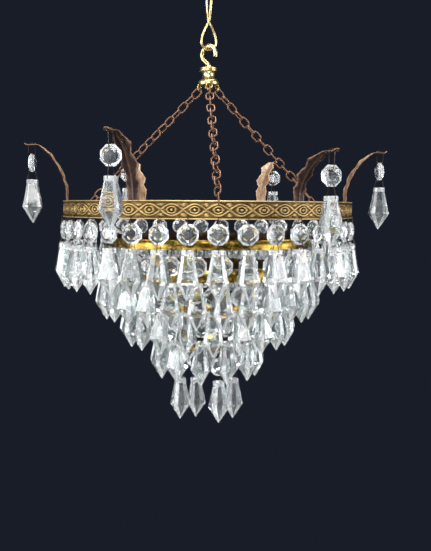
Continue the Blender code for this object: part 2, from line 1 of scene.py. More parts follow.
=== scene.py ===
"""Looks of the small tiered crystal chandelier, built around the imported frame."""
import json
import math
import random

import bmesh
import bpy
from mathutils import Matrix, Vector


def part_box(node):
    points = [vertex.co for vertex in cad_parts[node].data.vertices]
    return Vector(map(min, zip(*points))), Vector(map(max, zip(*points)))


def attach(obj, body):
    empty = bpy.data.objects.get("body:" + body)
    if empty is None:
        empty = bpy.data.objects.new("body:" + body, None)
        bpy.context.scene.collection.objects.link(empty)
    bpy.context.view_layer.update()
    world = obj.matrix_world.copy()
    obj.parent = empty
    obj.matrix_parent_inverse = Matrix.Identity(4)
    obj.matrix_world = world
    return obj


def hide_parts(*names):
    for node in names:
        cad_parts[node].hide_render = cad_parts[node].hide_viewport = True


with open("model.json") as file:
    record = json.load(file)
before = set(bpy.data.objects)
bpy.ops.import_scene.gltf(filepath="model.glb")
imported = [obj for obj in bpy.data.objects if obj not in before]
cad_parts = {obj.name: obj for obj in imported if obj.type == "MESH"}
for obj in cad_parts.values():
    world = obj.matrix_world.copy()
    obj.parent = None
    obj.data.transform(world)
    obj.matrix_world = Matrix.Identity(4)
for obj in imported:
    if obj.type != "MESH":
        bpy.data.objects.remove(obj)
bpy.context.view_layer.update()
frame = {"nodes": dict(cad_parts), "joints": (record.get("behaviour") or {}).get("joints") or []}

MM = 0.001
JOINTS = {joint["name"]: joint for joint in frame["joints"]}

# ---- sizes, worked out from the frame ------------------------------------------
band_low, band_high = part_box("gallery_band")
BAND_BEAD = 0.9 * MM              # rolled rims stand proud by this much
BAND_PROUD = band_high.x
BAND_R = BAND_PROUD - BAND_BEAD
BAND_TOP = band_high.z
BAND_BOTTOM = band_low.z
BAND_WALL = 1.2 * MM
BAND_RELIEF = 1.3 * MM            # depth of the stamped pattern
BAND_REPEATS = 46                 # of the pattern round the band
DATUM_DOWN = 4.9 * MM             # the gallery's datum below its top
DATUM = BAND_TOP - DATUM_DOWN     # the level that the camera looks across

# strands in each tier and the turn of the first one, in degrees
STRANDS = {1: (36, 0.0), 2: (28, 4.1), 3: (20, 0.0), 4: (12, 20.0), 5: (4, 20.0)}
CURTAIN_TIERS = (1, 2, 3, 4)      # the fifth tier is hinged strands
RING_TIERS = (2, 3, 4, 5)         # the first tier hangs from the gallery itself
ARM_COUNT = 6
BOTTOM_COUNT = 4
CHAIN_TURNS = (30.0, 150.0, 270.0)
STRIP = 0.9 * MM                  # thickness of the plain tier rings

# crystals; hand-hung strands turn and lean a little, in degrees
BEAD_R = 8.0 * MM                 # across-flats radius of the octagon
BEAD_HALF = 3.4 * MM              # half its thickness
SIDES = 8                         # of an octagon, and of a drop with its cut corners
HOLE_IN = 2.2 * MM                # hole centre in from the crystal's edge
DROP_LENGTH = 39.2 * MM
STRAND_YAW = 14.0
BEAD_YAW = 6.0                    # of an octagon, on top of half its strand's turn
STRAND_LEAN = 1.0
TIER_SEED = 100                   # of a tier's random turns, with its number added
FRONT_YAWS = {240: 14.0, 300: -14.0}    # the two front arm pendants face the camera

# wire pins: half lengths of their cross bars, and where the tiers' upper bars lie
PIN_WIRE = 0.32 * MM
PIN_CORNER = 0.6 * MM             # radius of a pin's bends
RING_BAR = 1.9 * MM               # through a ring's edge and the octagon under it
RING_BAR_UP = 1.6 * MM            # above the ring's lower edge
RING_BAR_SLACK = 0.4 * MM         # below the octagon's hole
ARM_BAR = 3.4 * MM                # over an arm's tip, or over the last ring's edge
HINGED_BAR = 2.6 * MM             # through the octagon of a hinged strand
BEAD_BAR = 2.5 * MM               # through the foot of any octagon
DROP_BAR = 4.9 * MM               # through the top of any drop

# chains: the eye of the crown, the rim of the gallery and the links between them
EYE_OUT = 9.4 * MM
EYE_R = 2.7 * MM
EYE_WIRE = 0.75 * MM
EYE_UP = 0.8 * MM                 # foot of the eye's circle above the flange's lowest point
EYE_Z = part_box("crown_flange")[0].z + EYE_R + EYE_UP
CHAIN_LINKS = 16
CHAIN_WIRE = 0.8 * MM
CHAIN_HALF_W = 3.3 * MM           # wire centre, half width of a link
CHAIN_LAP = 0.72                  # a link passes its pitch by this share of the wire
CHAIN_END = 0.92                  # its round end is this share of its half width long
CHAIN_IN_EYE = 1.95 * MM          # the first link starts this far before the eye's foot
CHAIN_TWIST = 42.0                # degrees that a chain twists by on its way down
CHAIN_ROLL = 8.0                  # and that a link rolls by, either way
CHAIN_SEED = 200                  # of a chain's random rolls, with its number added
RIM_DOWN = 0.6 * MM               # the long hook aims this far below the rim
RIM_PAST = 2.25 * MM              # and ends this far past it
RIM_HOOK = 11.0 * MM              # long last link, over the rim of the gallery
RIM_HOOK_HALF_W = 2.1 * MM
RIM_HOOK_END = 1.6 * MM           # length of its round end
RIM_HOOK_WIRE = 0.55 * MM
RIM_HOOK_LAP = 0.25 * MM          # between the hook and the last oval link

# wire stays
STAY_WIRE = 0.75 * MM
STAY_CLEAR = 1.2 * MM             # middle of the wire, inside a ring's inner face
STAY_TOP = 8.5 * MM               # its upper end is this far below the gallery's rim
STAY_FOOT = 1.5 * MM              # it meets each ring this far above the lower edge
STAY_LEAN_IN = 1.0 * MM           # and bends in before the next ring by this much
STAY_LEAN_UP = 2.4 * MM           # at this height above it

# crown, hook and hanging link; turns in degrees
CROWN_BORE = 1.9 * MM
NECK_R = 5.2 * MM
NECK_FLARE = 1.2 * MM             # the neck widens by about this much at both ends
NECK_WAIST = 0.45                 # share of its height down to its narrowest point
FLANGE_R = 9.2 * MM
FLANGE_HEIGHT = 5.3 * MM
HOOK_WIRE = 1.9 * MM
HOOK_R = 7.5 * MM
HOOK_TURN = -40.0
HOOK_UP = 1.4 * MM                # inner side of the bend above the joint's pivot
HOOK_STEP = 23.0                  # degrees from point to point of the bend
HOOK_END = 2.2 * MM               # straight end of the hook below its bend
COLLAR_R = 3.4 * MM
SHANK_R = 1.6 * MM
LINK_WIRE = 1.1 * MM
LINK_HALF = 6.8 * MM              # half width of each loop, wire centre
LINK_PINCH = 1.45 * MM            # half width where the two loops cross over
LINK_PINCH_Z = 165.2 * MM         # height of that place above the datum
LINK_TURN = 14.0

# leaf arms
ARM_SET_BACK = 2.0                # mm that the blade starts inside the gallery
ARM_UNDER_PIN = 1.2 * MM          # the flat tip lies this far below the pin's pivot
LEAF_SHEET = 0.7 * MM
LEAF_TEETH = 17.0                 # along each edge
LEAF_VEINS = 9.0
TOOTH_DEPTH = 0.10                # share of the half width
RIB_LIFT = 0.45                   # mm
RIB_HALF = 0.16                   # share of the half width
VEIN_LIFT = 0.22                  # mm
VEIN_SWEEP = 0.9                  # a vein runs back by this share of the space between two
LEAF_CUP = 0.20                   # the edges are cupped by this share of the half width

# stage and camera, in metres and degrees
FLOOR_R = 0.62
FLOOR_DOWN = 0.66                 # below the datum
FLOOR_PAINT = (0.45, 0.45, 0.44, 1.0)
STUDIO = (0.0095, 0.0125, 0.021, 1.0)
CRYSTALS_DOWN = 0.06              # middle of the crystals below the datum
CAMERA_RADII = 5.25               # its distance, in radii of the gallery
CAMERA_TURN = -93.5
CAMERA_TIP = 5.310                # tipped down
CAMERA_ASIDE = 0.622              # turned to the right
CAMERA_ROLL = 0.35
CAMERA_LENS = 48.152              # mm, on a sensor 36 mm long
CAMERA_SENSOR = 36.0


# ---- mesh helpers -----------------------------------------------------------------
def mesh_from(bm, name, smooth=None):
    """Finish a bmesh: outward faces, flat or smooth shading."""
    bmesh.ops.recalc_face_normals(bm, faces=bm.faces)
    mesh = bpy.data.meshes.new(name)
    bm.to_mesh(mesh)
    bm.free()
    if smooth is not None:
        mesh.shade_smooth()
        mesh.set_sharp_from_angle(angle=math.radians(smooth))
    return mesh


def piece(name, mesh, material, body, replaced=(), matrix=None):
    """Link a mesh as a piece of the object, riding on a body."""
    made = bpy.data.objects.new(name, mesh)
    bpy.context.scene.collection.objects.link(made)
    for choice in material if isinstance(material, tuple) else (material,):
        mesh.materials.append(choice)
    if matrix is not None:
        made.matrix_world = matrix
    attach(made, body)
    if replaced:
        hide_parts(*replaced)
    return made


def placed(radius, turn, height, sway=0.0):
    """Frame on a ring: local X tangential, Y inwards, Z up, with a small lean."""
    angle = math.radians(turn)
    spot = Matrix.Translation((radius * math.cos(angle), radius * math.sin(angle), height))
    facing = Matrix.Rotation(angle + math.pi / 2, 4, "Z")
    return spot @ facing @ Matrix.Rotation(math.radians(sway), 4, "Y")


def shifted(height, yaw):
    """A step along local Z and a twist about it."""
    return Matrix.Translation((0, 0, height)) @ Matrix.Rotation(math.radians(yaw), 4, "Z")


def bridge(bm, low, high, tone=0):
    """Side faces between two equal loops."""
    count = len(low)
    for step in range(count):
        after = (step + 1) % count
        face = bm.faces.new((low[step], low[after], high[after], high[step]))
        face.material_index = tone


def add_tube(bm, points, radius, sides, closed=False):
    """Sweep a circle along points; the ends are capped unless the path is closed."""
    count = len(points)
    loops = []
    side = None
    for number, here in enumerate(points):
        before = points[number - 1] if (closed or number) else here
        after = points[(number + 1) % count] if (closed or number < count - 1) else here
        run = (after - before).normalized()
        if side is None:
            seed = Vector((0.0, 0.0, 1.0)) if abs(run.z) < 0.8 else Vector((1.0, 0.0, 0.0))
            side = run.cross(seed).normalized()
        side = (side - run * side.dot(run)).normalized()
        up = run.cross(side)
        loop = []
        for step in range(sides):
            angle = 2.0 * math.pi * step / sides
            loop.append(bm.verts.new(here + side * (radius * math.cos(angle))
                                     + up * (radius * math.sin(angle))))
        loops.append(loop)
    for low, high in zip(loops, loops[1:]):
        bridge(bm, low, high)
    if closed:
        twist = min(range(sides), key=lambda k: (loops[0][k].co - loops[-1][0].co).length)
        bridge(bm, loops[-1], loops[0][twist:] + loops[0][:twist])
    else:
        bm.faces.new(loops[0])
        bm.faces.new(list(reversed(loops[-1])))


def add_lathe(bm, profile, steps):
    """Turn a closed profile of (radius, height) about Z."""
    loops = []
    for step in range(steps):
        angle = 2.0 * math.pi * step / steps
        loops.append([bm.verts.new((radius * math.cos(angle), radius * math.sin(angle), height))
                      for radius, height in profile])
    for step in range(steps):
        here = loops[step]
        after = loops[(step + 1) % steps]
        for row in range(len(profile)):
            up = (row + 1) % len(profile)
            bm.faces.new((here[row], after[row], after[up], here[up]))


def smooth_path(points, per_span, closed=False):
    """Catmull-Rom curve through points."""
    count = len(points)
    spans = count if closed else count - 1
    path = []
    for number in range(spans):
        if closed:
            a, b, c, d = (points[(number + k) % count] for k in (-1, 0, 1, 2))
        else:
            a = points[max(number - 1, 0)]
            b = points[number]
            c = points[number + 1]
            d = points[min(number + 2, count - 1)]
        for step in range(per_span):
            t = step / per_span
            path.append(0.5 * ((2 * b) + (c - a) * t + (2 * a - 5 * b + 4 * c - d) * t * t
                               + (3 * b - a - 3 * c + d) * t ** 3))
    if not closed:
        path.append(points[-1].copy())
    return path


# ---- material helpers -----------------------------------------------------------------
GRAIN_DEPTH = 0.0004              # metres
GLASS_IOR = 1.50
MIX_SHARE, MIX_UNDER, MIX_OVER, MIX_OUT = 0, 6, 7, 2    # a Mix node's sockets for colours


def new_material(name):
    """A node material, its tree and its shader."""
    material = bpy.data.materials.new(name)
    material.use_nodes = True
    tree = material.node_tree
    return material, tree, tree.nodes["Principled BSDF"]


def node(tree, kind, **settings):
    """Add a node; a setting is one of its inputs or else a property."""
    made = tree.nodes.new(kind)
    for key, value in settings.items():
        if key in made.inputs:
            made.inputs[key].default_value = value
        else:
            setattr(made, key, value)
    return made


def noise(tree, scale, detail, roughness):
    """Noise over the piece's own coordinates."""
    where = node(tree, "ShaderNodeTexCoord")
    made = node(tree, "ShaderNodeTexNoise", Scale=scale, Detail=detail, Roughness=roughness)
    tree.links.new(where.outputs["Object"], made.inputs["Vector"])
    return made


def ramp(tree, source, stops):
    """Colours by value, from pairs of position and colour."""
    made = node(tree, "ShaderNodeValToRGB")
    elements = made.color_ramp.elements
    while len(elements) < len(stops):
        elements.new(0.5)
    for element, (position, colour) in zip(elements, stops):
        element.position = position
        element.color = (*colour, 1.0)
    tree.links.new(source, made.inputs["Fac"])
    return made


def grey(value):
    """A colour without hue."""
    return (value, value, value)


def grain(tree, shader, scale, detail, roughness, strength):
    """Fine relief on the surface."""
    fine = noise(tree, scale, detail, roughness)
    relief = node(tree, "ShaderNodeBump", Strength=strength, Distance=GRAIN_DEPTH)
    tree.links.new(fine.outputs["Fac"], relief.inputs["Height"])
    tree.links.new(relief.outputs["Normal"], shader.inputs["Normal"])


def metal(name, dark, mid, bright, rough, scale, bump, worn=None, solid=1.0):
    """Brass with patina in the hollows, worn bright edges and a fine surface grain."""
    material, tree, shader = new_material(name)
    shader.inputs["Metallic"].default_value = solid
    patina = noise(tree, scale, 6.0, 0.6)
    colour = ramp(tree, patina.outputs["Fac"], ((0.30, dark), (0.50, mid), (0.72, bright)))
    out = colour.outputs["Color"]
    if worn is not None:
        geometry = node(tree, "ShaderNodeNewGeometry")
        for low, high, tone in ((0.50, 0.44, dark), (0.505, 0.56, worn)):
            share = ramp(tree, geometry.outputs["Pointiness"],
                         sorted(((low, grey(0.0)), (high, grey(1.0)))))
            mix = node(tree, "ShaderNodeMix", data_type="RGBA")
            tree.links.new(share.outputs["Color"], mix.inputs[MIX_SHARE])
            tree.links.new(out, mix.inputs[MIX_UNDER])
            mix.inputs[MIX_OVER].default_value = (*tone, 1.0)
            out = mix.outputs[MIX_OUT]
    tree.links.new(out, shader.inputs["Base Color"])
    smudge = noise(tree, scale * 0.4, 5.0, 0.7)
    dull = ramp(tree, smudge.outputs["Fac"], ((0.3, grey(rough * 0.75)), (0.75, grey(rough * 1.4))))
    tree.links.new(dull.outputs["Color"], shader.inputs["Roughness"])
    grain(tree, shader, 2200.0, 3.0, 0.6, bump)
    return material


def crystal(name, painted_fire_tints, scale, clear, rough):
    """Cut lead crystal with a little haze: pale tints drift from facet to facet as painted dispersion
    glints.
    """
    material, tree, shader = new_material(name)
    shader.inputs["IOR"].default_value = GLASS_IOR
    shader.inputs["Metallic"].default_value = 0.0
    # the violet, green and peach base tints are painted dispersion glints
    drift = noise(tree, scale, 2.0, 0.5)
    stops = [(0.3 + 0.4 * k / (len(painted_fire_tints) - 1), tint) for k, tint in enumerate(painted_fire_tints)]
    colour = ramp(tree, drift.outputs["Fac"], stops)
    tree.links.new(colour.outputs["Color"], shader.inputs["Base Color"])
    cloud = noise(tree, scale * 0.8, 3.0, 0.6)
    depth = ramp(tree, cloud.outputs["Fac"],
                 ((0.3, grey(clear - 0.06)), (0.7, grey(min(1.0, clear + 0.06)))))
    tree.links.new(depth.outputs["Color"], shader.inputs["Transmission Weight"])
    dust = noise(tree, scale * 5.0, 5.0, 0.7)
    haze = ramp(tree, dust.outputs["Fac"], ((0.45, grey(rough)), (0.8, grey(rough * 4.0))))
    tree.links.new(haze.outputs["Color"], shader.inputs["Roughness"])
    grain(tree, shader, scale * 2.0, 2.0, 0.5, 0.04)
    return material


# dark, middle and bright tones of each brass, its roughness and the scale of its patina
POLISHED = metal("polished_brass", (0.30, 0.21, 0.07), (0.56, 0.45, 0.20), (0.74, 0.66, 0.40),
                 0.34, 110.0, bump=0.01)
CHAIN_BRASS = metal("aged_chain_brass", (0.012, 0.004, 0.003), (0.040, 0.014, 0.009),
                    (0.095, 0.042, 0.027), 0.42, 300.0, worn=(0.17, 0.090, 0.055), bump=0.2, solid=0.8)
GILT = metal("antique_gilt", (0.03, 0.015, 0.005), (0.135, 0.080, 0.024), (0.23, 0.15, 0.05),
             0.42, 420.0, worn=(0.46, 0.33, 0.14), bump=0.25, solid=0.85)
RING_BRASS = metal("ring_brass", (0.08, 0.040, 0.008), (0.24, 0.15, 0.025), (0.40, 0.29, 0.08),
                   0.24, 140.0, bump=0.08)
# near-black brass: painted shade for the rings' inner faces and the stays inside them
INSIDE_BRASS_PAINTED_SHADE = metal("inside_brass_painted_shade", (0.006, 0.004, 0.003), (0.018, 0.011, 0.006), (0.06, 0.035, 0.015),
                   0.50, 200.0, bump=0.15)
# leaf brasses: the tan one carries painted light for the lit inner side, the dark one patina with painted
# shade for the underside
LEAF_TAN_PAINTED_LIGHT = metal("leaf_tan_painted_light", (0.08, 0.045, 0.025), (0.22, 0.13, 0.075), (0.33, 0.22, 0.13),
                 0.50, 180.0, worn=(0.40, 0.28, 0.17), bump=0.3, solid=0.5)
LEAF_DARK_PATINA_PAINTED_SHADE = metal("leaf_dark_patina_painted_shade", (0.005, 0.002, 0.0015), (0.012, 0.004, 0.003), (0.034, 0.013, 0.008),
                  0.46, 220.0, worn=(0.16, 0.09, 0.055), bump=0.3, solid=0.7)
PIN_METAL = metal("pin_wire", (0.012, 0.009, 0.007), (0.035, 0.026, 0.02), (0.09, 0.07, 0.05),
                  0.45, 500.0, bump=0.1)
# the large facets are clearer than the cut edges round them: the cut edges' whiter, less clear glass is a
# painted highlight, and the pale tints of both are painted dispersion glints
TABLE_GLASS = crystal("table_crystal", ((0.72, 0.84, 0.82), (0.90, 0.94, 0.92), (0.88, 0.84, 0.93)),
                      130.0, 0.96, 0.02)
EDGE_GLASS_PAINTED_HIGHLIGHT = crystal("edge_crystal_painted_highlight", ((0.88, 0.96, 0.96), (0.97, 0.99, 1.0), (0.98, 0.95, 0.99)),
                     130.0, 0.75, 0.02)
CRYSTAL = (TABLE_GLASS, EDGE_GLASS_PAINTED_HIGHLIGHT)
# index 0 is the clear table glass, index 1 the cut-edge glass with its painted highlight
TABLE = 0
EDGE_PAINTED_HIGHLIGHT = 1


# ---- crystals ---------------------------------------------------------------------------
def zigzag(bm, inner, outer, lead, tone):
    """Triangle facets between two loops turned half a step from each other."""
    count = len(inner)
    for step in range(count):
        after = (step + 1) % count
        near = outer[(step + lead) % count]
        further = outer[(after + lead) % count]
        faces = [bm.faces.new((inner[step], inner[after], near if lead else further))]
        if lead:
            faces.append(bm.faces.new((inner[after], further, near)))
        else:
            faces.append(bm.faces.new((inner[step], further, near)))
        for face in faces:
            face.material_index = tone


def add_bead(bm, matrix):
    """Octagon button: a table, a zigzag of facets and a girdle on both sides."""
    # depth and radius as shares of the whole, and the turn of the first corner
    loops = []
    for depth, share, turn in ((-1.0, 0.50, 22.5), (-0.68, 0.80, 0.0), (-0.18, 1.0, 22.5),
                               (0.18, 1.0, 22.5), (0.68, 0.80, 0.0), (1.0, 0.50, 22.5)):
        corner = share * BEAD_R / math.cos(math.pi / SIDES)
        points = []
        for step in range(SIDES):
            angle = math.radians(turn + 360.0 * step / SIDES)
            points.append(matrix @ Vector((corner * math.cos(angle), depth * BEAD_HALF,
                                           corner * math.sin(angle))))
        loops.append([bm.verts.new(point) for point in points])
    table_back, mid_back, rim_back, rim_front, mid_front, table_front = loops
    # table facets take the clear glass; the facets round them and the girdle take the edge glass with
    # painted highlight
    zigzag(bm, table_back, mid_back, 1, TABLE)
    zigzag(bm, mid_back, rim_back, 0, EDGE_PAINTED_HIGHLIGHT)
    bridge(bm, rim_back, rim_front, EDGE_PAINTED_HIGHLIGHT)
    zigzag(bm, mid_front, rim_front, 0, EDGE_PAINTED_HIGHLIGHT)
    zigzag(bm, table_front, mid_front, 1, TABLE)
    bm.faces.new(table_back)
    bm.faces.new(table_front)


def add_drop(bm, matrix):
    """Square drop with cut corners: collared flat top, wide shoulder, pointed tip."""
    # height and half width in mm, and the share of each side left between the cut corners
    rows = ((0.0, 4.2, 0.60), (-0.5, 4.65, 0.60), (-3.3, 4.65, 0.60), (-3.9, 4.4, 0.60),
            (-4.5, 4.6, 0.62), (-24.3, 8.15, 0.66), (-26.0, 7.5, 0.58), (-37.0, 1.5, 0.10))
    loops = []
    for height, half, flat in rows:
        inset = half * flat
        corners = ((half, -inset), (half, inset), (inset, half), (-inset, half),
                   (-half, inset), (-half, -inset), (-inset, -half), (inset, -half))
        loops.append([bm.verts.new(matrix @ Vector((x * MM, y * MM, height * MM)))
                      for x, y in corners])
    collar_rows = 3
    for row, (low, high) in enumerate(zip(loops, loops[1:])):
        for step in range(SIDES):
            after = (step + 1) % SIDES
            face = bm.faces.new((low[step], low[after], high[after], high[step]))
            # alternate long sides are clear; the collar, the cut corners and the tip take the edge glass
            # with painted highlight
            face.material_index = TABLE if step % 2 == 0 and row >= collar_rows else EDGE_PAINTED_HIGHLIGHT
    tip = bm.verts.new(matrix @ Vector((0.0, 0.0, -DROP_LENGTH)))
    last = loops[-1]
    for step in range(SIDES):
        face = bm.faces.new((last[step], last[(step + 1) % SIDES], tip))
        face.material_index = EDGE_PAINTED_HIGHLIGHT
    bm.faces.new(loops[0])


def add_bow(bm, matrix, top, bottom, top_half, bottom_half):
    """Wire pin through two holes: cross bars at top and bottom and a leg on each side."""
    points = []
    for half, height, start in ((top_half - PIN_CORNER, top - PIN_CORNER, 0),
                                (PIN_CORNER - top_half, top - PIN_CORNER, 90),
                                (PIN_CORNER - bottom_half, bottom + PIN_CORNER, 180),
                                (bottom_half - PIN_CORNER, bottom + PIN_CORNER, 270)):
        for step in range(3):
            angle = math.radians(start + 45.0 * step)
            points.append(matrix @ Vector((0.0, half + PIN_CORNER * math.cos(angle),
                                           height + PIN_CORNER * math.sin(angle))))
    add_tube(bm, points, PIN_WIRE, 6, closed=True)


def tier_sizes(tier):
    """Radius, lower edge of the ring, and the tips of the drops."""
    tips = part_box("tier_crystals_%d_back" % tier)[0].z
    if tier == 1:
        return BAND_R, BAND_BOTTOM, tips
    low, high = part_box("tier_ring_%d" % tier)
    return high.x - STRIP / 2.0, low.z, tips


def build_tier(tier):
    """Octagons, drops and pins of a tier: each crystal is its own closed solid."""
    radius, edge, tips = tier_sizes(tier)
    count, start = STRANDS[tier]
    rng = random.Random(TIER_SEED + tier)
    gap = (edge - tips - 2.0 * BEAD_R - DROP_LENGTH) / 2.0
    beads, drops, pins = bmesh.new(), bmesh.new(), bmesh.new()
    for number in range(count):
        turn = start + 360.0 * number / count
        yaw = rng.uniform(-STRAND_YAW, STRAND_YAW)
        hang = placed(radius, turn, edge, rng.uniform(-STRAND_LEAN, STRAND_LEAN))
        bead_at = hang @ shifted(-gap - BEAD_R, yaw / 2.0 + rng.uniform(-BEAD_YAW, BEAD_YAW))
        drop_at = hang @ shifted(-2.0 * gap - 2.0 * BEAD_R, yaw)
        add_bead(beads, bead_at)
        add_drop(drops, drop_at)
        add_bow(pins, hang, RING_BAR_UP, -gap - HOLE_IN - RING_BAR_SLACK, RING_BAR, RING_BAR)
        add_bow(pins, hang, -gap - 2.0 * BEAD_R + HOLE_IN, -2.0 * gap - 2.0 * BEAD_R - HOLE_IN,
                BEAD_BAR, DROP_BAR)
    name = "tier_%d" % tier
    piece(name + "_octagons", mesh_from(beads, name), CRYSTAL, "frame",
          ("tier_crystals_%d_back" % tier, "tier_crystals_%d_front" % tier))
    piece(name + "_drops", mesh_from(drops, name), CRYSTAL, "frame")
    piece(name + "_pins", mesh_from(pins, name, 60), PIN_METAL, "frame")


def build_strand(kind, index):
    """A hinged octagon and drop with their wire pins, placed from their joints."""
    upper = JOINTS["%s_pin_%d" % (kind, index)]
    lower = JOINTS["%s_drop_pin_%d" % (kind, index)]
    octagon = "%s_octagon_%d" % (kind, index)
    drop = "%s_drop_%d" % (kind, index)
    pivot = Vector(upper["pos_m"])
    hole = Vector(lower["pos_m"])
    turn = math.degrees(math.atan2(pivot.y, pivot.x))
    radius = math.hypot(pivot.x, pivot.y)
    bead_z = hole.z - HOLE_IN + BEAD_R
    drop_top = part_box(drop)[0].z + DROP_LENGTH
    place = placed(radius, turn, 0.0)
    parts = {key: bmesh.new() for key in ("bead", "drop", "upper", "lower")}
    yaw = FRONT_YAWS.get(round(turn) % 360, 0.0)
    add_bead(parts["bead"], place @ shifted(bead_z, yaw))
    add_drop(parts["drop"], place @ shifted(drop_top, yaw))
    add_bow(parts["upper"], place, pivot.z + PIN_WIRE, bead_z + BEAD_R - HOLE_IN,
            ARM_BAR, HINGED_BAR)
    add_bow(parts["lower"], place, hole.z + PIN_WIRE, drop_top - HOLE_IN, BEAD_BAR, DROP_BAR)
    piece(octagon + "_crystal", mesh_from(parts["bead"], octagon), CRYSTAL, octagon,
          (octagon,))
    piece(octagon + "_pin", mesh_from(parts["upper"], octagon, 60), PIN_METAL, octagon)
    piece(drop + "_crystal", mesh_from(parts["drop"], drop), CRYSTAL, drop, (drop,))
    piece(drop + "_pin", mesh_from(parts["lower"], drop, 60), PIN_METAL, drop)


# ---- gallery band -------------------------------------------------------------------------
def ridge(offset, width):
    """Rounded ridge along a line."""
    return math.sqrt(max(0.0, 1.0 - (offset / width) ** 2))


def band_relief(share, height):
    """Height of the stamped relief, 0 to 1, at a share of one repeat and -1..1 up the band."""
    rim = max(0.0, 1.0 - ((abs(height) - 0.93) / 0.11) ** 2)
    across = math.sin(math.pi * share) * 0.60
    ribbons = max(ridge(height - across, 0.13), ridge(height + across, 0.13)) * 0.75
    x = (share - 0.5) / 0.19
    eye = math.hypot(x, height / 0.36)
    eye_rim = ridge(eye - 1.0, 0.26) * 0.9
    pupil = math.sqrt(max(0.0, 1.0 - (x / 0.50) ** 2 - (height / 0.18) ** 2))
    away = min(share, 1.0 - share)
    leaf = max(0.0, 1.0 - (away / 0.17) ** 2 - ((abs(height) - 0.52) / 0.22) ** 2) * 0.6
    return max(rim, ribbons, eye_rim, pupil, leaf)


def build_band():
    """Gallery band: rolled rims and a guilloche of ribbons and eyes on a thin wall."""
    across = 18
    rows = 40
    base = BAND_PROUD - BAND_RELIEF
    middle = (BAND_TOP + BAND_BOTTOM) / 2.0
    half = (BAND_TOP - BAND_BOTTOM) / 2.0
    inner = BAND_R - BAND_WALL
    slant_in = 0.5 * MM
    slant_down = 0.8 * MM
    back = ((inner + slant_in, BAND_TOP), (inner, BAND_TOP - slant_down),
            (inner, BAND_BOTTOM + slant_down), (inner + slant_in, BAND_BOTTOM))
    steps = BAND_REPEATS * across
    bm = bmesh.new()
    columns = []
    for step in range(steps):
        angle = 2.0 * math.pi * step / steps
        column = []
        for row in range(rows + 1):
            height = -1.0 + 2.0 * row / rows
            radius = base + BAND_RELIEF * band_relief((step % across) / across, height)
            column.append((radius, middle + half * height))
        column.extend(back)
        columns.append([bm.verts.new((radius * math.cos(angle), radius * math.sin(angle), height))
                        for radius, height in column])
    for step in range(steps):
        bridge(bm, columns[step], columns[(step + 1) % steps])
    piece("gallery_band_embossed", mesh_from(bm, "gallery_band", 70), GILT, "frame",
          ("gallery_band",))


# ---- tier rings and stays ---------------------------------------------------------------------
def build_ring(tier):
    """Plain strip with rolled edges, bright brass outside and near-black brass inside as painted shade.
    """
    low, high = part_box("tier_ring_%d" % tier)
    outer = high.x
    inner = outer - STRIP
    steps = max(96, 6 * STRANDS[tier][0])
    top, bottom = high.z, low.z
    profile = [(inner, top - 0.3 * MM), (inner + 0.25 * MM, top), (outer - 0.25 * MM, top),
               (outer, top - 0.3 * MM), (outer, top - 1.1 * MM), (outer - 0.22 * MM, top - 1.5 * MM),
               (outer - 0.22 * MM, bottom + 1.3 * MM), (outer, bottom + 0.9 * MM),
               (outer, bottom + 0.2 * MM), (outer - 0.25 * MM, bottom),
               (inner + 0.25 * MM, bottom), (inner, bottom + 0.3 * MM)]
    bm = bmesh.new()
    add_lathe(bm, profile, steps)
    for face in bm.faces:
        middle = face.calc_center_median()
        if math.hypot(middle.x, middle.y) < inner + 0.2 * MM:
            face.material_index = 1    # the near-black brass, painted shade on the inner face
    piece("tier_ring_%d_strip" % tier, mesh_from(bm, "ring", 50), (RING_BRASS, INSIDE_BRASS_PAINTED_SHADE), "frame",
          ("tier_ring_%d" % tier,))


def build_stays():
    """Three wire stays inside the rings, from the gallery to the last ring."""
    for index, turn in enumerate(CHAIN_TURNS, 1):
        angle = math.radians(turn)
        inside = BAND_R - BAND_WALL - STAY_CLEAR
        corners = [(inside, BAND_TOP - STAY_TOP), (inside, BAND_BOTTOM + STAY_FOOT)]
        for tier in RING_TIERS:
            low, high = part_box("tier_ring_%d" % tier)
            inside = high.x - STRIP - STAY_CLEAR
            corners.append((inside - STAY_LEAN_IN, high.z + STAY_LEAN_UP))
            corners.append((inside, low.z + STAY_FOOT))
        points = [Vector((radius * math.cos(angle), radius * math.sin(angle), height))
                  for radius, height in corners]
        bm = bmesh.new()
        add_tube(bm, points, STAY_WIRE, 8)
        # the stay wears the near-black brass of painted shade
        piece("ring_stay_%d_wire" % index, mesh_from(bm, "stay", 60), INSIDE_BRASS_PAINTED_SHADE, "frame",
              ("ring_stay_%d" % index,))


# ---- chains -----------------------------------------------------------------------------------
def link_outline(half_long, half_wide, side_half):
    """Rounded oval along X in the XZ plane; its sides are straight over 2 * side_half."""
    end = half_long - side_half
    points = []
    for step in range(8):
        swing = math.radians(-90.0 + 180.0 * step / 7.0)
        points.append(Vector((side_half + end * math.cos(swing), 0.0, half_wide * math.sin(swing))))
    return points + [Vector((-point.x, 0.0, -point.z)) for point in points]


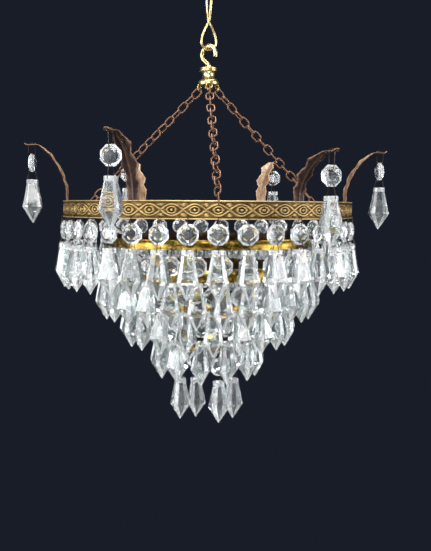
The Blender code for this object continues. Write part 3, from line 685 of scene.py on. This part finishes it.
def build_chain(index, turn):
    """Oval links, each a quarter turned from the last, and a long hook over the rim."""
    eye = Vector((EYE_OUT, EYE_Z - EYE_R))
    rim = Vector((BAND_R, BAND_TOP - RIM_DOWN))
    run = (rim - eye).normalized()
    first = eye - run * CHAIN_IN_EYE
    last = rim + run * RIM_PAST
    slope = math.atan2(-run.y, run.x)
    total = (last - first).length
    pitch = (total - RIM_HOOK - RIM_HOOK_LAP) / CHAIN_LINKS
    half_long = pitch / 2.0 + CHAIN_WIRE * CHAIN_LAP
    outline = link_outline(half_long, CHAIN_HALF_W, half_long - CHAIN_HALF_W * CHAIN_END)
    base = (Matrix.Rotation(math.radians(turn), 4, "Z") @ Matrix.Translation((first.x, 0.0, first.y))
            @ Matrix.Rotation(slope, 4, "Y"))
    bm = bmesh.new()
    rng = random.Random(CHAIN_SEED + index)
    for number in range(CHAIN_LINKS):
        twist = CHAIN_TWIST * number / (CHAIN_LINKS - 1)
        roll = 90.0 * (number % 2) + twist + rng.uniform(-CHAIN_ROLL, CHAIN_ROLL)
        place = base @ Matrix.Translation((half_long + pitch * number, 0.0, 0.0))
        place = place @ Matrix.Rotation(math.radians(roll), 4, "X")
        add_tube(bm, [place @ point for point in outline], CHAIN_WIRE, 8, closed=True)
    place = base @ Matrix.Translation((total - RIM_HOOK / 2.0, 0.0, 0.0))
    hook = link_outline(RIM_HOOK / 2.0, RIM_HOOK_HALF_W, RIM_HOOK / 2.0 - RIM_HOOK_END)
    add_tube(bm, [place @ point for point in hook], RIM_HOOK_WIRE, 8, closed=True)
    piece("chain_%d_links" % index, mesh_from(bm, "chain", 60), CHAIN_BRASS, "frame",
          ("suspension_chain_%d" % index,))


# ---- crown, hook and link ------------------------------------------------------------------------
def build_crown():
    """Turned plate, neck and flange of the crown, and the eyes for the chains."""
    low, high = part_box("crown_plate")
    top, bottom, outer = high.z, low.z, high.x
    plate = bmesh.new()
    add_lathe(plate, [(CROWN_BORE, top), (outer - 1.7 * MM, top), (outer - 0.7 * MM, top - 0.3 * MM),
                      (outer - 0.1 * MM, top - 1.0 * MM), (outer - 0.1 * MM, top - 1.5 * MM),
                      (outer - 0.9 * MM, top - 1.9 * MM), (outer - 0.9 * MM, bottom + 1.7 * MM),
                      (outer, bottom + 1.3 * MM), (outer, bottom + 0.7 * MM),
                      (outer - 0.7 * MM, bottom), (CROWN_BORE, bottom)], 72)
    piece("crown_plate_turned", mesh_from(plate, "plate", 40), POLISHED, "frame",
          ("crown_plate",))
    low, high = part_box("crown_neck")
    top, bottom = high.z, low.z
    profile = [(CROWN_BORE, top)]
    for step in range(9):
        share = step / 8.0
        radius = NECK_R + NECK_FLARE * (abs(share - NECK_WAIST) * 2.0) ** 2.2
        profile.append((radius, top + (bottom - top) * share))
    profile.append((CROWN_BORE, bottom))
    neck = bmesh.new()
    add_lathe(neck, profile, 64)
    piece("crown_neck_turned", mesh_from(neck, "neck", 50), POLISHED, "frame",
          ("crown_neck",))
    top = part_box("crown_flange")[1].z
    bottom = top - FLANGE_HEIGHT
    outer = FLANGE_R
    flange = bmesh.new()
    add_lathe(flange, [(CROWN_BORE, top), (outer - 2.4 * MM, top), (outer - 1.3 * MM, top - 0.6 * MM),
                       (outer - 0.2 * MM, top - 1.8 * MM), (outer, top - 2.3 * MM),
                       (outer, bottom + 1.0 * MM), (outer - 0.3 * MM, bottom + 0.3 * MM),
                       (outer - 1.2 * MM, bottom), (CROWN_BORE, bottom)], 72)
    for turn in CHAIN_TURNS:
        place = placed(EYE_OUT, turn, EYE_Z)
        points = [place @ Vector((EYE_R * math.cos(math.pi * k / 8.0), 0.0,
                                  EYE_R * math.sin(math.pi * k / 8.0))) for k in range(16)]
        add_tube(flange, points, EYE_WIRE, 8, closed=True)
    piece("crown_flange_turned", mesh_from(flange, "flange", 40), POLISHED, "frame",
          ("crown_flange",))


def build_hook():
    """Open hook of thick wire with a rounded end, its collar, shank and nut."""
    pivot_z = JOINTS["hook_swing"]["pos_m"][2]
    plate_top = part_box("crown_plate")[1].z
    centre = pivot_z + HOOK_UP + HOOK_WIRE - HOOK_R
    turn = Matrix.Rotation(math.radians(HOOK_TURN), 4, "Z")
    # out from the axis and up from the crown, in mm, from the collar to the bend
    stem = ((0.0, 0.6), (-0.5, 2.8), (-3.4, 5.0), (-6.4, 8.2))
    points = [Vector((out * MM, 0.0, plate_top + up * MM)) for out, up in stem]
    for step in range(9):
        angle = math.radians(180.0 - step * HOOK_STEP)
        points.append(Vector((HOOK_R * math.cos(angle), 0.0, centre + HOOK_R * math.sin(angle))))
    points.append(points[-1] + Vector((-0.2 * MM, 0.0, -HOOK_END)))
    bm = bmesh.new()
    add_tube(bm, [turn @ point for point in smooth_path(points, 4)], HOOK_WIRE, 16)
    made = piece("suspension_hook_bend", mesh_from(bm, "hook", 60), POLISHED, "hook",
                 ("suspension_hook",))
    rounding = made.modifiers.new("rounded_end", "BEVEL")
    rounding.width = 0.7 * MM
    rounding.segments = 3
    rounding.limit_method = "ANGLE"
    rounding.angle_limit = math.radians(60)
    base = plate_top + 0.3 * MM
    shank_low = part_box("suspension_hook")[0].z
    collar = bmesh.new()
    add_lathe(collar, [(1.0 * MM, base + 1.5 * MM), (2.4 * MM, base + 1.5 * MM),
                       (3.2 * MM, base + 1.0 * MM), (COLLAR_R, base + 0.5 * MM),
                       (3.2 * MM, base), (1.0 * MM, base)], 48)
    add_lathe(collar, [(0.05 * MM, base), (SHANK_R, base), (SHANK_R, shank_low + 0.4 * MM),
                       (1.2 * MM, shank_low), (0.05 * MM, shank_low)], 32)
    piece("hook_collar", mesh_from(collar, "collar", 40), POLISHED, "hook")
    nut = frame["nodes"]["crown_nut"]
    nut.data.materials.clear()
    nut.data.materials.append(POLISHED)


def build_link():
    """Figure-eight link of bright wire, the upper loop a quarter turned from the lower."""
    low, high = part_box("hanging_link")
    crossing = DATUM + LINK_PINCH_Z
    # share of the way from the loop's end to the crossing, and share of its width
    swell = ((0.0, 0.10), (0.06, 0.60), (0.20, 0.96), (0.36, 1.0), (0.54, 0.84),
             (0.74, 0.46), (0.95, 0.0))
    points = []
    for upper, end in ((False, low.z + LINK_WIRE), (True, high.z - LINK_WIRE)):
        left = [(-1.0, share, wide) for share, wide in reversed(swell)]
        right = [(1.0, share, wide) for share, wide in swell]
        for side, share, wide in left + right:
            offset = side * (LINK_PINCH + (LINK_HALF - LINK_PINCH) * wide)
            height = end + (crossing - end) * share
            points.append(Vector((0.0, -offset, height) if upper else (offset, 0.0, height)))
    turn = Matrix.Rotation(math.radians(LINK_TURN), 4, "Z")
    path = [turn @ point for point in smooth_path(points, 5, closed=True)]
    bm = bmesh.new()
    add_tube(bm, path, LINK_WIRE, 12, closed=True)
    piece("hanging_link_wire", mesh_from(bm, "link", 60), POLISHED, "hanging_link",
          ("hanging_link",))


# ---- leaf arms ---------------------------------------------------------------------------------------
def leaf_stations(pendant_out, rise):
    """Out from the gallery, up from its top and half width, in mm, from foot to tip."""
    foot = (-2.05, -8.0, 5.0), (-2.05, 0.6, 5.0)
    reach = pendant_out - 4.0
    blade = [(out * reach - ARM_SET_BACK, up * rise, half) for out, up, half in (
        (0.02, 0.13, 5.4), (0.06, 0.26, 6.4), (0.13, 0.38, 4.8), (0.24, 0.52, 8.0),
        (0.42, 0.69, 5.0), (0.64, 0.83, 7.4), (0.84, 0.93, 4.4))]
    tip = ((pendant_out - 6.0, rise, 3.4), (pendant_out + 3.4, rise + 0.1, 3.3),
           (pendant_out + 6.4, rise + 1.6, 1.4))
    return [Vector(station) for station in (*foot, *blade, *tip)]


def build_arm(index):
    """Acanthus leaf: rib, veins running out to each lobe, toothed and curled edges."""
    pin = Vector(JOINTS["arm_pin_%d" % index]["pos_m"])
    pendant_out = (math.hypot(pin.x, pin.y) - BAND_R) / MM
    rise = (pin.z - ARM_UNDER_PIN - BAND_TOP) / MM
    path = smooth_path(leaf_stations(pendant_out, rise), 9)
    half_columns = 6
    last = len(path) - 1
    bm = bmesh.new()
    grid = []
    for row, spot in enumerate(path):
        ahead = path[min(last, row + 1)] - path[max(0, row - 1)]
        run = Vector((ahead.x, ahead.y)).normalized()
        normal = Vector((run.y, -run.x))
        share = row / last
        # plain at the foot and at the tip, leafy between
        leafy = (min(1.0, max(0.0, (share - 0.14) / 0.08))
                 * min(1.0, max(0.0, (0.80 - share) / 0.08)))
        tooth = 0.5 + 0.5 * math.sin(share * 2.0 * math.pi * LEAF_TEETH)
        line = []
        for column in range(-half_columns, half_columns + 1):
            side = column / half_columns
            half = spot.z * (1.0 - TOOTH_DEPTH * tooth * leafy * abs(side) ** 3)
            phase = share * LEAF_VEINS - abs(side) * VEIN_SWEEP
            vein = math.sin(phase * 2.0 * math.pi) * abs(side)
            lift = (RIB_LIFT * math.exp(-(side / RIB_HALF) ** 2)
                    + leafy * (VEIN_LIFT * vein - LEAF_CUP * spot.z * abs(side) ** 1.6))
            line.append(bm.verts.new((side * half * MM, -(spot.x + normal.x * lift) * MM,
                                      BAND_TOP + (spot.y + normal.y * lift) * MM)))
        grid.append(line)
    for low, high in zip(grid, grid[1:]):
        for column in range(2 * half_columns):
            bm.faces.new((low[column], low[column + 1], high[column + 1], high[column]))
    turn = math.degrees(math.atan2(pin.y, pin.x))
    # painted light on the tan inner face, patina and painted shade on the dark outer face and edges
    made = piece("leaf_arm_%d_blade" % index, mesh_from(bm, "leaf", 60), (LEAF_TAN_PAINTED_LIGHT, LEAF_DARK_PATINA_PAINTED_SHADE),
                 "frame", ("leaf_arm_%d" % index,), placed(BAND_R, turn, 0.0))
    sheet = made.modifiers.new("sheet", "SOLIDIFY")
    sheet.material_offset = 1          # the outer side and the edges are the dark brass, patina with painted shade; the inner side keeps the tan brass, painted light
    sheet.material_offset_rim = 1
    sheet.thickness = LEAF_SHEET
    sheet.offset = 0.0


# ---- stage ---------------------------------------------------------------------------------------------
# name, offset from the middle of the crystals in metres, size, power in watts, colour
LIGHTS = (
    ("front", (-0.30, -1.05, 0.90), 0.90, 25.0, (1.0, 0.99, 0.97)),
    ("left", (-1.15, -0.45, 0.15), 0.90, 20.0, (0.95, 0.97, 1.0)),
    ("right", (1.15, -0.40, 0.20), 0.90, 17.0, (0.96, 0.96, 1.0)),
    ("top", (0.1, 0.2, 1.10), 0.60, 16.0, (1.0, 1.0, 1.0)),
    ("low", (0.0, -0.75, -0.55), 0.40, 8.0, (0.96, 1.0, 0.99)),
)


def build_stage():
    """Pale floor well under the chandelier, a dark studio and its soft lights."""
    bm = bmesh.new()
    bmesh.ops.create_circle(bm, cap_ends=True, segments=96, radius=FLOOR_R,
                            matrix=Matrix.Translation((0, 0, DATUM - FLOOR_DOWN)))
    floor = bpy.data.objects.new("floor", mesh_from(bm, "floor"))
    bpy.context.scene.collection.objects.link(floor)
    material, _, shader = new_material("floor_paint")
    shader.inputs["Base Color"].default_value = FLOOR_PAINT
    shader.inputs["Roughness"].default_value = 0.7
    floor.data.materials.append(material)

    world = bpy.data.worlds.new("studio")
    bpy.context.scene.world = world
    world.use_nodes = True
    background = world.node_tree.nodes["Background"]
    background.inputs["Color"].default_value = STUDIO
    background.inputs["Strength"].default_value = 1.0
    bpy.context.scene.view_settings.view_transform = "Standard"

    centre = Vector((0.0, 0.0, DATUM - CRYSTALS_DOWN))
    for name, offset, size, power, colour in LIGHTS:
        data = bpy.data.lights.new(name, "AREA")
        data.shape = "DISK"
        data.size = size
        data.energy = power
        data.color = colour
        lamp = bpy.data.objects.new(name, data)
        bpy.context.scene.collection.objects.link(lamp)
        lamp.location = centre + Vector(offset)
        lamp.rotation_mode = "QUATERNION"
        lamp.rotation_quaternion = (-Vector(offset)).to_track_quat("-Z", "Y")


def build_camera():
    """Camera level with the gallery, a little to its left and tipped down."""
    distance = CAMERA_RADII * BAND_R
    turn = math.radians(CAMERA_TURN)
    data = bpy.data.cameras.new("camera")
    data.sensor_width = CAMERA_SENSOR
    data.lens = CAMERA_LENS
    data.clip_start = 0.01
    data.clip_end = 20.0
    camera = bpy.data.objects.new("camera", data)
    bpy.context.scene.collection.objects.link(camera)
    camera.location = (distance * math.cos(turn), distance * math.sin(turn), DATUM)
    heading = Matrix.Rotation(turn + math.pi / 2 - math.radians(CAMERA_ASIDE), 4, "Z")
    aim = heading @ Matrix.Rotation(math.pi / 2 - math.radians(CAMERA_TIP), 4, "X")
    roll = Matrix.Rotation(math.radians(CAMERA_ROLL), 4, "Z")
    camera.rotation_mode = "QUATERNION"
    camera.rotation_quaternion = (aim @ roll).to_quaternion()
    bpy.context.scene.camera = camera


build_link()
build_hook()
build_crown()
for number, turn in enumerate(CHAIN_TURNS, 1):
    build_chain(number, turn)
build_stays()
build_band()
for tier in RING_TIERS:
    build_ring(tier)
for tier in CURTAIN_TIERS:
    build_tier(tier)
for number in range(1, ARM_COUNT + 1):
    build_arm(number)
    build_strand("arm", number)
for number in range(1, BOTTOM_COUNT + 1):
    build_strand("bottom", number)
build_stage()
build_camera()
